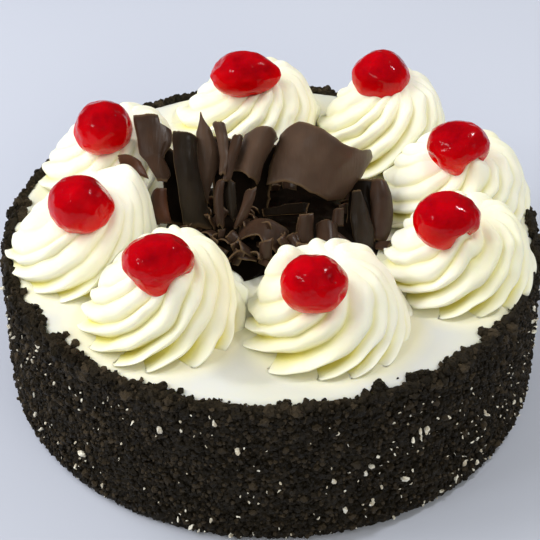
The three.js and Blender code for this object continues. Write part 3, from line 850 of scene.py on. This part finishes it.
def rosette_form(spec, seed):
    rng = np.random.default_rng(seed)
    columns, rows = RIDGES * 20, 78
    start, along, power, tips = ridge_layout(rng, columns, spec)
    share = even_shares(spec, rows)[:, None]
    angle = start[None, :] + np.radians(wound(spec, share) + spec["turn"])
    height = spec["height"] * dome_share(spec, share, angle)
    base = np.stack([
        spec["foot"] * share * np.cos(angle) + spec["peak"][0] * (1 - share),
        spec["foot"] * share * np.sin(angle) + spec["peak"][1] * (1 - share),
        height,
    ], axis=-1)
    normal = skin_normals(base, np.roll(base, -1, axis=1) - np.roll(base, 1, axis=1))
    low = bell(height, FOOT_BAND)
    crest, depth, painted_shade = ridge_relief(spec, share, angle, along, power, low)
    rings = base + normal * (depth * (crest - MID_RIDGE))[..., None]
    trail = angle - math.radians(TIP_TRAIL)
    outwards = np.stack([np.cos(trail), np.sin(trail), np.zeros_like(angle)], axis=-1)
    nose = bell(height, TIP_BAND) * (1 - TIP_TUCK * np.exp(-height / TIP_ROUND))
    rings += outwards * (tips * crest**2 * nose)[..., None]
    rings[..., 2] = np.maximum(0, rings[..., 2])
    return rings, painted_shade


print("ridges:", RIDGES, "twist:", RIDGE_TWIST)

# %% [markdown]
# Neighbours press against each other and stay on their own sides. Each cherry presses a seat
# into its rosette; where it has a deep nick, a little ridge of cream is drawn up over its edge.
# Two rosettes also stand up in a mound beside the heap.

# %% Cream round the cherries
LAP_LONG, LAP_WIDE = 4.5, 4.2
LAP_ABOVE, LAP_MOST = 2.0, 7
SEAT_OVERLAP = 0.045


def press_apart(points, spec):
    """Hold a rosette on its side of the plane midway to each neighbour."""
    centre = np.array(spec["at"], float)
    for other in ROSETTES:
        across = np.array(other["at"], float) - centre
        gap = np.linalg.norm(across)
        if 1 < gap < 60:
            towards = across / gap
            over = np.maximum(0, (points[:, :2] - centre) @ towards - gap / 2 + 0.12)
            points[:, :2] -= over[:, None] * towards
    return points


def facing(right, up, near):
    """A direction given as the camera sees it: right, up and towards the camera."""
    tilt = ELEVATION
    back = np.array([0, -math.cos(tilt), math.sin(tilt)])
    way = np.array([right, up * math.sin(tilt), up * math.cos(tilt)]) + near * back
    return way / np.linalg.norm(way)


def pressed(unit, way, amount, width):
    """How far a round dent goes in at each direction from a middle."""
    return amount * bell(np.arccos(np.clip(unit @ way, -1, 1)), width)


def deep_nicks(cherry_spec):
    return [nick for nick in cherry_spec["nicks"] if nick[3] > 0.25]


def centre_and_half(cherry_spec):
    return np.array(cherry_spec["at"]) + [0, 0, CAKE_HEIGHT], np.array(cherry_spec["size"]) / 2


def seat_cherry(points, cherry_spec):
    """Push cream out of a cherry: it keeps a dimple for it, and fills the deep nicks."""
    centre, half = centre_and_half(cherry_spec)
    away = (points - centre) / half
    span = np.linalg.norm(away, axis=1)
    unit = away / np.maximum(span, 1e-6)[:, None]
    skin = np.full(len(points), CHERRY_FULL - SEAT_OVERLAP)
    for right, up, near, amount, width in deep_nicks(cherry_spec):
        skin -= pressed(unit, facing(right, up, near), amount, width)
    inside = span < skin
    points[inside] = centre + (unit * skin[:, None] * half)[inside]
    return points


def lap_over(points, cherry_spec):
    """Draw a small ridge of cream up into each deep nick, over the cherry's edge."""
    centre, half = centre_and_half(cherry_spec)
    for right, up, near, amount, _ in deep_nicks(cherry_spec):
        way = facing(right, up, near)
        nick = centre + way * half * (1 - 0.6 * amount)
        out = way[:2] / np.linalg.norm(way[:2])
        offset = points[:, :2] - nick[:2]
        along, across = offset @ out, offset @ [-out[1], out[0]]
        share = bell(along, LAP_LONG) * bell(across, LAP_WIDE)
        lift = np.clip(nick[2] + LAP_ABOVE - points[:, 2], 0, LAP_MOST)
        points[:, 2] += lift * share * np.clip((points[:, 2] - CAKE_HEIGHT - 3) / 5, 0, 1)
    return points


def raise_mounds(points, spec):
    """Lift the cream where it laps a cherry or stands in a block: place, rise, width, steepness."""
    for x, y, rise, width, steep in spec.get("mounds", []):
        near = bell(np.hypot(points[:, 0] - x, points[:, 1] - y), width, steep)
        points[:, 2] += rise * near * np.clip((points[:, 2] - CAKE_HEIGHT) / 6, 0, 1)
    return points


print("cherries with a lap of cream:", sum(bool(deep_nicks(c)) for c in CHERRIES))

# %% Make the rosettes


def make_rosette(number, spec, cherry_spec):
    rings, painted_shade = rosette_form(spec, number)
    points, faces = closed_skin(rings, (0, 0, 0), (*spec["peak"], spec["height"]))
    points = points + [*spec["at"], CAKE_HEIGHT - 0.1]
    soft = np.stack([rough(points, 0.15, number * 7 + k) for k in range(3)], axis=1)
    above = np.clip((points[:, 2] - CAKE_HEIGHT) / 4, 0, 1)[:, None]
    points += soft * 0.8 * above
    points = press_apart(raise_mounds(points, spec), spec)
    points = seat_cherry(lap_over(points, cherry_spec), cherry_spec)
    points[points[:, 2] < CAKE_HEIGHT, 2] -= FOOT_SUNK
    painted_shade = np.concatenate([[0.5], painted_shade.ravel(), [0.1]])
    return make_piece(f"rosette_cream_{number}", points, faces, CREAM, dict(painted_shade=painted_shade))


for number, (spec, cherry_spec) in enumerate(zip(ROSETTES, CHERRIES), 1):
    swirl = make_rosette(number, spec, cherry_spec)
    settle(swirl, "cream", f"rosette_{number}")
print("rosettes:", number, "faces each:", len(swirl.data.polygons))

# %% [markdown]
# Each cherry was pitted and candied, so it is a squat uneven ball with shallow dents, and with
# nicks and bulges at its own places. The deepest nicks are where cream laps over its edge.

# %% Cherries


def cherry_form(spec, seed):
    """Points and faces of a cherry, and how low each point lies on it."""
    rng = np.random.default_rng(100 + seed)
    columns, rows = 84, 56
    tilt = np.linspace(0, math.pi, rows + 2)[1:-1]
    rings = turned([(math.sin(a), -math.cos(a)) for a in tilt], columns)
    points, faces = closed_skin(rings, (0, 0, -1), (0, 0, 1))
    unit = points / np.linalg.norm(points, axis=1)[:, None]
    swell = 0.05 * rough(unit, 1.1, seed * 3.1) + 0.035 * rough(unit, 2.4, seed * 5.7)
    swell += 0.012 * rough(unit, 6.0, seed * 2.3)
    for _ in range(5):
        pole = rng.normal(size=3)
        swell -= pressed(unit, pole / np.linalg.norm(pole), 0.05, 0.25)
    for right, up, near, amount, width in spec["nicks"]:
        swell -= pressed(unit, facing(right, up, near), amount, width)
    centre, half = centre_and_half(spec)
    return centre + unit * (CHERRY_FULL + swell)[:, None] * half, faces, 0.5 - 0.5 * unit[:, 2]


for number, spec in enumerate(CHERRIES, 1):
    points, faces, low = cherry_form(spec, number)
    fruit = make_piece(f"glace_cherry_{number}", points, faces, CHERRY, dict(low=low))
    settle(fruit, "cherry", f"cherry_{number}")
print("cherries:", number, "faces each:", len(fruit.data.polygons))

# %% [markdown]
# A shard is a bent plate. Its spine runs from its foot to its top, and at each point it has a
# width and a bow. Its edges are jagged, some follow a broken outline of their own, and the plate
# thins towards them. The same rule makes every shard, from the wide scoop to the slivers.

# %% Shard table
# Lengths and places are from the middle of the cake's top. bows: how far the plate bulges;
# slope: how its rows tip to one side; left, right, low, high: the line of a broken edge, as
# places along it and where it lies; fold: where the foot bends forward, and how much.


def shard(spine, widths, bows, slope, turn=0, jag=0.05, finish=CHOCOLATE, fold=(0, 0), **edges):
    return dict(spine=spine, widths=widths, bows=bows, slope=slope, turn=turn, jag=jag,
                finish=finish, fold=fold, edges=edges)


SHARDS = [
    shard([(10.1, 5.5, 9.5), (14.6, 13, 15.1), (16.9, 20.5, 19.7)], [26.8, 31.6, 30.8],
          [8.4, 9.3, 11.7], -13, jag=0.015, left=[(0, -0.96), (1, -0.97)],
          right=[(0, 0.96), (0.11, 0.93), (0.39, 0.98), (0.54, 1.01), (1, 1.3)],
          low=[(0, 0.05), (0.2, 0.11), (0.42, 0.03), (0.55, -0.03), (0.81, -0.06), (1, 0.06)],
          high=[(0, 1), (0.05, 1.2), (0.13, 1.27), (0.36, 1.09), (0.54, 0.94), (0.65, 0.92),
                (0.77, 0.96), (1, 1.3)]),
    shard([(-9.2, 8, 14), (-4.3, 20.5, 22.6)], [10.3, 10.7], [7.5, 9.3], -19, -3, 0.03,
          left=[(0, -0.97), (1, -0.95)], right=[(0, 0.85), (0.55, 0.81), (1, 1.15)],
          low=[(0, 0.09), (0.26, 0.06), (0.57, -0.04), (1, -0.05)],
          high=[(0, 0.96), (0.23, 1.06), (1, 1.2)]),
    shard([(-21.6, 2, 9.2), (-21.2, 9, 17.3), (-21.5, 16, 24.6), (-23.1, 22, 32.3)],
          [2.2, 7.4, 7.6, 1.3], [0.7, 2, 2, 0.8], -10, jag=0.03,
          left=[(0, 0.1), (0.1, -0.58), (0.3, -0.8), (0.6, -0.82), (0.74, -0.95), (0.9, -0.6),
                (1, -0.5)],
          right=[(0, 0.44), (0.1, 0.35), (0.3, 0.8), (0.5, 1.05), (0.6, 1.04), (0.8, 0.6),
                 (0.9, 0.1), (1, -0.3)]),
    shard([(-23.2, -6, 3.8), (-27.6, 6, 20.5), (-28.2, 17, 26.3)], [11.1, 8.3, 8.6],
          [1.7, 3.3, 4.7], -15, -5, 0.03, MOSTLY_SHADED),
    shard([(-35.8, 5, 14.6), (-38.5, 15.5, 20.9), (-41.3, 25, 28.6)], [5, 13, 11.5],
          [0.3, 2.5, 1.9], -3, 2, 0.02, PART_SHADED, fold=(0.4, 7),
          left=[(0, -0.58), (0.17, -0.72), (0.32, -0.66), (0.44, -0.89), (0.66, -0.75), (1, -0.83)],
          right=[(0, 0.66), (0.1, 0.9), (0.35, 0.42), (0.42, 0.48), (0.52, 0.75), (0.72, 1.06),
                 (0.82, 1.05), (0.86, 0.57), (1, 0.59)]),
    shard([(-44.2, 2.5, 21.0), (-46.6, 8, 23.0)], [10.6, 8.2], [-0.6, 2.2], -22, -3, finish=PAINTED_GLOW),
    shard([(-34.8, -8, 8), (-36.8, -3, 12.3), (-35.7, 1, 16.3)], [5.5, 6.2, 3.2],
          [1.7, 2.3, 1.6], 5, finish=PAINTED_GLOW),
    shard([(-15.9, 3, 19.8), (-15.8, 12, 25), (-17.7, 19, 29.3)], [1.9, 3, 4.1],
          [0.8, 1.1, 3.2], 5),
    shard([(-15.2, 2, 17.3), (-12.9, 9, 23.1), (-11.2, 16, 26.6)], [2.1, 3.3, 3.3],
          [0.7, 1.1, 2.2], -9, finish=PART_SHADED),
    shard([(-16.1, -10, 7.1), (-16.9, -3.5, 15.2), (-16.2, 1.5, 20.2)], [2.2, 3.4, 1.6],
          [0.6, 1.4, 0.7], 22, 10, 0.12, PART_SHADED),
    shard([(-11.6, -7, 8.1), (-13.1, -1.5, 14.8), (-12.6, 2, 18.6)], [2.4, 3.8, 1.4],
          [0.7, 1.5, 0.5], -12, -14, 0.12, MOSTLY_SHADED),
    shard([(-11, -10, 8.0), (-8.4, -6, 13.2), (-6.3, -1, 18.2)], [2.4, 4.3, 3.0],
          [1.4, 2.2, 0.9], 14, 8, 0.1, PART_SHADED),
    shard([(4.6, -8, 8.4), (4.5, -2, 11.1)], [13.1, 16.3], [-0.1, 1.6], 9, jag=0.02, finish=SHADED,
          low=[(0, 0.62), (0.3, 0.5), (1, 0.45)]),
    shard([(-4.1, -16, 3.9), (-2.2, -8, 5.7)], [16.3, 17.7], [7.7, 6.2], -1, -7, finish=PART_SHADED,
          low=[(0, 0.05), (0.5, -0.02), (0.62, -0.35), (1, -0.4)]),
    shard([(10.8, -15, 5.4), (11.2, -9, 13.7)], [5.5, 4.6], [0.6, 1.1], 11, finish=PART_SHADED),
    shard([(18.2, -17, 5.0), (17.6, -9, 8.6)], [7.4, 7.0], [4.6, 4.4], -2, finish=PART_SHADED),
    shard([(21.5, -7, 6.3), (21.9, -3, 11.1)], [3.8, 3.5], [2.3, 3.1], 16, finish=PART_SHADED),
    shard([(29.3, -12, 0.4), (28.9, -3, 6), (28.6, 5, 11.9)], [7, 8.6, 5.6], [1.6, 2.7, 2.5],
          -6, jag=0.03, finish=MOSTLY_SHADED, left=[(0, -0.43), (0.23, -0.75), (1, -0.75)],
          right=[(0, 0.92), (0.28, 0.98), (0.44, 0.9), (0.69, 0.59), (1, 0.05)]),
    shard([(34.6, -7, 0.4), (36.0, 1, 6.3), (35.2, 9, 14.2)], [5, 8, 4.4], [1.3, 2.7, 2.2],
          -7, jag=0.03, finish=PART_SHADED),
    shard([(12.5, 23.5, 3), (14.5, 29.5, 12)], [17.3, 19.2], [-1, -0.8], 0, -9),
    shard([(-9.5, 26, 3), (-10, 30, 15)], [17.1, 20.1], [-0.7, -1.2], 0, 6),
    shard([(-27, 21.5, 2), (-28.5, 25, 15)], [13, 14.3], [-0.5, -0.1], 0, 24),
    # painted shade: these three plates stand in the heap's shaded gaps in near-black chocolate
    shard([(-31.3, -2, 3.0), (-32.6, 17, 21)], [8.6, 7.6], [1, 0.5], -10, finish=SHADED),
    shard([(-10.2, -1, 5), (-9.8, 20.5, 22.5)], [18.5, 25.5], [0, -0.6], -8, -5, finish=SHADED),
    shard([(28.5, -9, 0.9), (30.2, 12, 11.5)], [10, 9], [0.1, 1.9], 5, finish=SHADED),
]
print("shards:", len(SHARDS))

# %% Shard rule
THICKNESS = 1.15
FLAKE_THICKNESS = 0.8


def through(values, t):
    """The smooth curve through values spaced evenly from 0 to 1."""
    values = np.asarray(values, float)
    last = len(values) - 1
    total = 0
    for i, value in enumerate(values):
        weight = np.ones_like(t)
        for j in range(last + 1):
            if j != i:
                weight = weight * (t * last - j) / (i - j)
        total = total + weight * value
    return total


def edge_line(row, side, t, plain):
    """Where an edge of a shard lies at t along it: straight, or through its given places."""
    return np.interp(t, *zip(*row["edges"][side])) if side in row["edges"] else plain


def shard_surface(row, u, v):
    """Points of a shard's middle sheet, for u from -1 to 1 across and v from 0 to 1 along."""
    across = (u + 1) / 2
    left, right_edge = edge_line(row, "left", v, -1), edge_line(row, "right", v, 1)
    low, high = edge_line(row, "low", across, 0), edge_line(row, "high", across, 1)
    u = left + (right_edge - left) * across
    v = low + (high - low) * v
    spine = np.stack([through([p[k] for p in row["spine"]], v) for k in range(3)], axis=-1)
    turn, slope = math.radians(row["turn"]), math.radians(row["slope"])
    level = math.cos(slope)
    right = np.array([math.cos(turn) * level, math.sin(turn) * level, math.sin(slope)])
    up = np.array(row["spine"][-1], float) - row["spine"][0]
    outwards = np.cross(right, up / np.linalg.norm(up))
    outwards /= np.linalg.norm(outwards)
    half = through(row["widths"], v) / 2
    fold_at, fold = row["fold"]
    bow = through(row["bows"], v) * (1 - u**2) + fold * np.maximum(0, fold_at - v)
    return spine + (u * half)[..., None] * right + bow[..., None] * outwards + [0, 0, CAKE_HEIGHT]


def jagged(count, amount, rng):
    """A broken line: a few straight runs between random depths, with a fine tooth."""
    knots = rng.integers(4, 7)
    places = np.sort(np.r_[0, rng.uniform(0.1, 0.9, knots), 1])
    coarse = np.interp(np.linspace(0, 1, count), places, rng.uniform(0, 1, knots + 2))
    return amount * (coarse + 0.25 * rng.uniform(0, 1, count))


def plate_faces(rows, columns):
    """Faces of a closed plate: its front, its back and the band between their borders."""
    count = rows * columns
    faces = []
    for r in range(rows - 1):
        for i in range(r * columns, r * columns + columns - 1):
            faces.append((i, i + 1, i + columns + 1, i + columns))
            faces.append((count + i, count + i + columns, count + i + columns + 1, count + i + 1))
    grid = np.arange(count).reshape(rows, columns)
    border = [*grid[0], *grid[1:, -1], *grid[-1, -2::-1], *grid[-2:0:-1, 0]]
    for i, j in zip(border, border[1:] + border[:1]):
        faces.append((int(i), int(count + i), int(count + j), int(j)))
    return faces


def plate(row, rows, columns, rng, thickness):
    """A closed plate on a shard's middle sheet, with broken edges that thin out."""
    a, b = np.linspace(0, 1, columns), np.linspace(0, 1, rows)
    jag = row["jag"]
    left, right = jagged(rows, jag, rng), jagged(rows, jag, rng)
    low, high = jagged(columns, jag * 0.7, rng), jagged(columns, jag * 0.7, rng)
    u = -1 + 2 * (left[:, None] + (1 - left - right)[:, None] * a[None, :])
    v = low[None, :] + (1 - low - high)[None, :] * b[:, None]
    middle = shard_surface(row, u, v)
    rim = np.minimum(np.minimum(b, 1 - b)[:, None], np.minimum(a, 1 - a)[None, :])
    full = thickness / 2 * np.clip(0.35 + rim * 9, 0.35, 1)
    push = skin_normals(middle, np.gradient(middle, axis=1)) * full[..., None]
    points = np.concatenate([(middle + push).reshape(-1, 3), (middle - push).reshape(-1, 3)])
    # how near the border each point lies, for the painted light at the thin edges
    painted_edge_glow = np.clip(1 - rim * 14, 0, 1).ravel()
    return points, plate_faces(rows, columns), np.concatenate([painted_edge_glow, painted_edge_glow])


print("a plate of 3 x 3 points has", len(plate_faces(3, 3)), "faces")

# %% Make the shards
for number, row in enumerate(SHARDS, 1):
    rng = np.random.default_rng(300 + number)
    points, faces, painted_edge_glow = plate(row, 34, 34, rng, THICKNESS)
    points += np.stack([rough(points, 0.22, number + 10 * k) for k in range(3)], axis=1) * 0.35
    sliver = make_piece(f"chocolate_shard_{number}", points, faces, row["finish"], dict(painted_edge_glow=painted_edge_glow))
    settle(sliver, "chocolate", f"shard_{number}")
print("shard faces:", len(sliver.data.polygons))

# %% [markdown]
# Between the shards lies a low heap of small broken flakes. Its core is an uneven mound in
# near-black painted shade that tapers off behind the two front rosettes. Many small plates by
# the shard rule lie and stand on it, except under the scoop; they wear a darker copy of the
# chocolate, painted shade as well.

# %% Flake heap
TAPER = 9  # how far behind its front the heap gets its full height
CORE_SHARE = 0.985
UNDER_SCOOP = ((-3, 24), (-10, 12))


def heap_core():
    columns, rows = 90, 22
    profile = [
        (share * CORE_SHARE, HEAP_SIZE[2] * (1 - share**2.2) ** 0.8 * 0.9)
        for share in np.linspace(1, 0.04, rows)
    ]
    rings = turned(profile, columns) * [*HEAP_SIZE[:2], 1] + [*HEAP_CENTRE, 0]
    rings[..., 1] = np.maximum(rings[..., 1], HEAP_FRONT + 2 * np.cos(rings[..., 0] / 3))
    rings[..., 2] *= np.clip((rings[..., 1] - HEAP_FRONT) / TAPER, 0, 1)
    rings[..., 2] += CAKE_HEIGHT
    flat = rings.reshape(-1, 3)
    flat[columns:, 2] += np.abs(rough(flat[columns:], 0.3, 2)) * 2.0
    peak = (*HEAP_CENTRE, CAKE_HEIGHT + HEAP_SIZE[2] * 0.95)
    return closed_skin(rings, (*HEAP_CENTRE, CAKE_HEIGHT), peak)


def open_heap(x, y):
    """Whether a flake may stand here: on the heap, clear of the rosettes and the scoop."""
    under = all(low < value < high for value, (low, high) in zip((x, y), UNDER_SCOOP))
    return y >= HEAP_FRONT and not under and not on_rosette(x, y, -3.5)


def flake_row(x, y, share, rng):
    width, length = rng.uniform(2.5, 6.5), rng.uniform(3, 7.5)
    heading, lean = rng.uniform(0, 2 * math.pi), math.radians(rng.uniform(15, 80))
    foot = np.array([x, y, HEAP_SIZE[2] * (1 - share**2) - 0.8])
    way = [math.sin(lean) * math.cos(heading), math.sin(lean) * math.sin(heading), math.cos(lean)]
    bow = width * rng.uniform(0.05, 0.4)
    slope = rng.uniform(-25, 25)
    spine = [foot, foot + length * np.array(way)]
    return shard(spine, [0.8 * width, width], [bow, bow], slope, math.degrees(heading) - 90, 0.09)


def small_flakes(count):
    rng = np.random.default_rng(77)
    points, faces, edges = [], [], []
    total = 0
    while len(points) < count:
        turn, share = rng.uniform(0, 2 * math.pi), 0.97 * math.sqrt(rng.uniform())
        x = HEAP_CENTRE[0] + HEAP_SIZE[0] * share * math.cos(turn)
        y = HEAP_CENTRE[1] + HEAP_SIZE[1] * share * math.sin(turn)
        if open_heap(x, y):
            made, links, painted_edge_glow = plate(flake_row(x, y, share, rng), 7, 7, rng, FLAKE_THICKNESS)
            points.append(made)
            faces += [tuple(total + i for i in face) for face in links]
            edges.append(painted_edge_glow)
            total += len(made)
    return np.concatenate(points), faces, dict(painted_edge_glow=np.concatenate(edges))


core_points, core_faces = heap_core()
no_edge_glow = dict(painted_edge_glow=np.zeros(len(core_points)))
core = make_piece("flake_core", core_points, core_faces, SHADED, no_edge_glow)
settle(core, "chocolate", "flake_heap")
flake_points, flake_faces, flake_edge_glow = small_flakes(105)
flakes = make_piece("small_flakes", flake_points, flake_faces, PART_SHADED, flake_edge_glow)
settle(flakes, "chocolate", "flake_heap")
print("flake faces:", len(flakes.data.polygons))

# %% [markdown]
# Pale flecks of cream and sugar cling among the crumbs: tiny crumbs of another finish, kept
# sparse, and gathered in places as they are on the real cake.

# %% Pale specks


def speck_cover(x, y, z):
    if z > CAKE_HEIGHT - 3:
        return 0.0
    gathered = noise.noise(Vector((x, y, z)) * 0.06 + Vector((5, 2, 9)))
    foot = 0.25 if z < 2.5 else 0.0
    return max(0.05 + foot, min(0.35, gathered * 1.1))


sprinkle = scatter_surface("scatter_specks", speck_cover)
for point in sprinkle.data.vertices:
    outwards = Vector((point.co.x, point.co.y, 0)).normalized()
    point.co += outwards * 0.9 * MM
specks = scatter(
    "pale_specks", sprinkle, SPECK, Spacing=2.5 * MM, Smallest=0.18 * MM, Largest=0.8 * MM,
    Skew=4.5, Roughen=2.4 * MM, Grain=600.0, Stretch=2.0, Detail=2, Seed=21,
)
settle(specks, "crumb", "iced_cake")

# %% [markdown]
# The helper surfaces have done their work and go. The floor is a wide, pale, faintly blue
# sheet, and isn't part of the cake.

# %% Clear up and lay the floor
for helper in (side, rim, sprinkle):
    bpy.data.objects.remove(helper)

FLOOR_DROP = 0.0004  # just below the cake's base
paint = Finish("pale floor")
drift = paint.between(paint.noise(3, 2), 0.3, 0.7)
FLOOR = paint.set(colour=paint.tint(drift, (0.465, 0.50, 0.61), (0.51, 0.545, 0.65)), roughness=0.6)
corners = [(x, y, -FLOOR_DROP) for x, y in ((-3, -2), (3, -2), (3, 4), (-3, 4))]
floor_mesh = bpy.data.meshes.new("floor")
floor_mesh.from_pydata(corners, [], [(0, 1, 2, 3)])
floor_mesh.materials.append(FLOOR)
floor = add_object("floor", floor_mesh)
print("stage:", floor.name)
